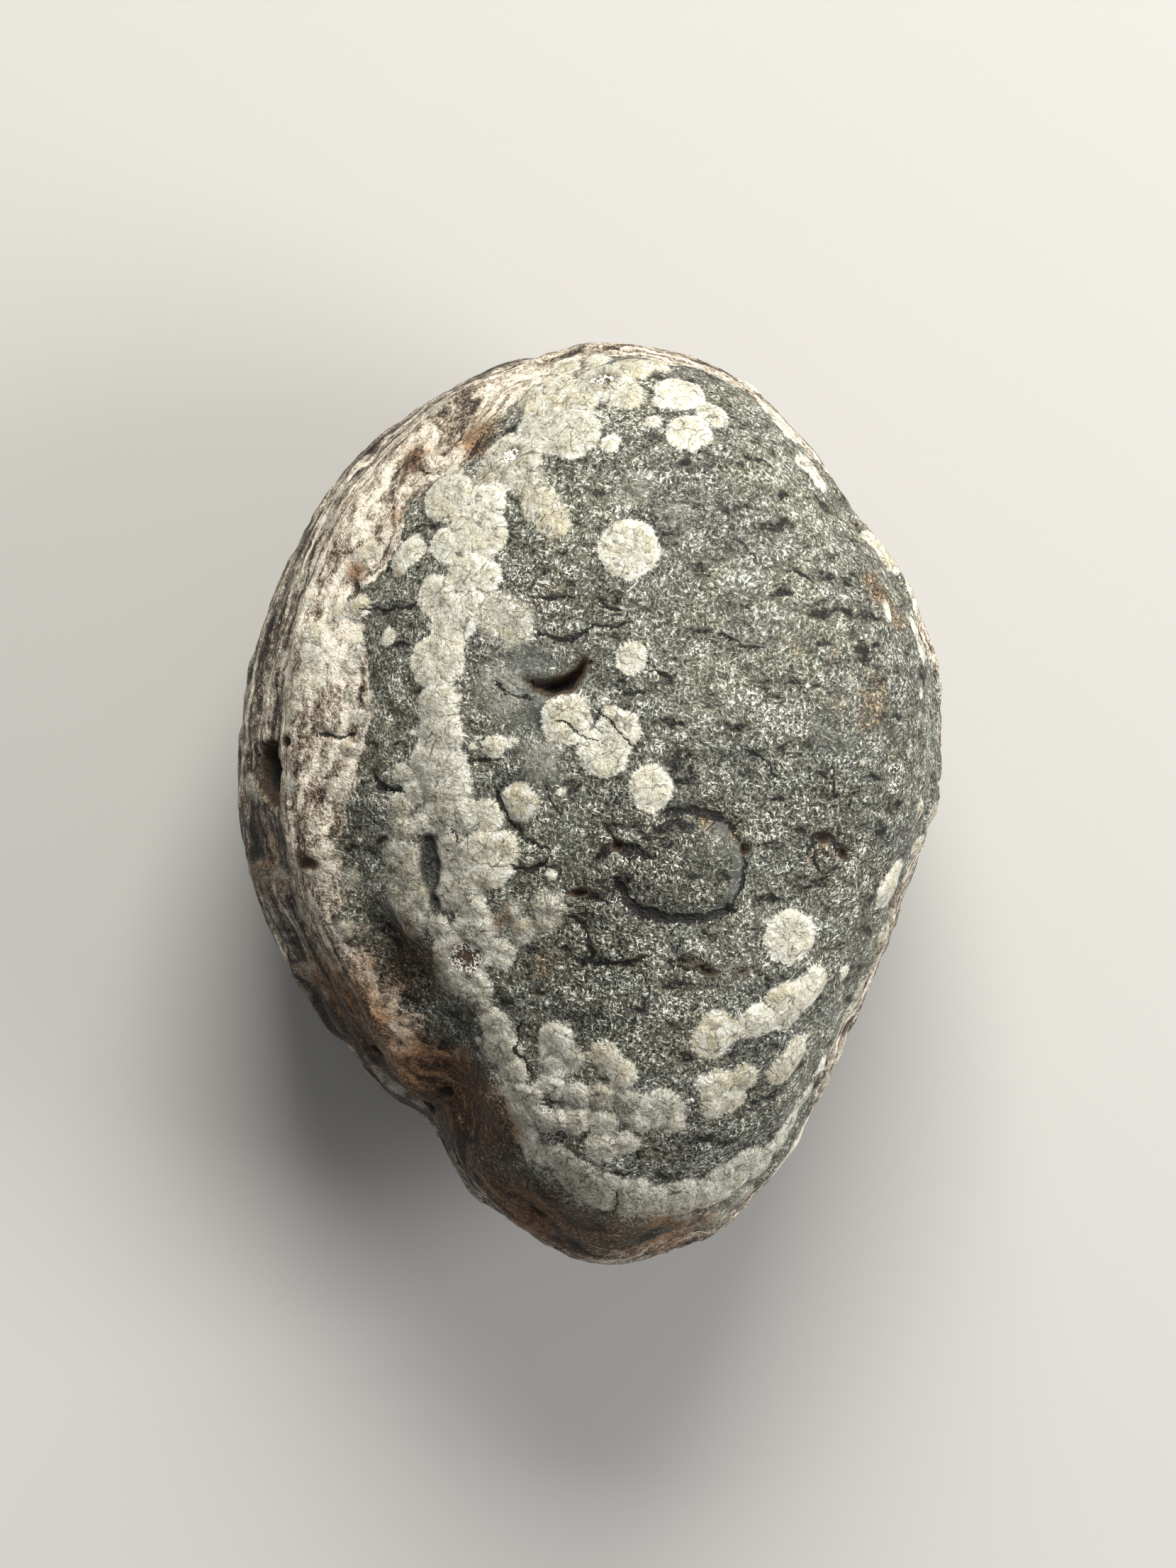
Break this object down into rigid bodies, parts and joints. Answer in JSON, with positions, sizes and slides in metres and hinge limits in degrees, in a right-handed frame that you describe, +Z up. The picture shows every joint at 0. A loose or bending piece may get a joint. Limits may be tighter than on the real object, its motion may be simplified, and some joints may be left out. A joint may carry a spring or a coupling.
{
  "type": "obsidian pebble",
  "caption": "Egg-shaped, water-worn pebble of snowflake obsidian: dark volcanic glass with pale round spherulites and a banded, ledged flank. It rests on a small flat spot.",
  "frame": {"origin": "in the plane of the small flat spot that the stone rests on, under the middle of its outline", "axes": "+Z up, across the stone's thinnest way, with the rounded front face on top; +Y from the narrow nose to the broad crown; +X to the steep side"},
  "size_m": [0.026, 0.034, 0.018],
  "materials": {
    "obsidian": "matte"
  },
  "bodies": {
    "root": {"stone": "obsidian"}
  },
  "joints": []
}
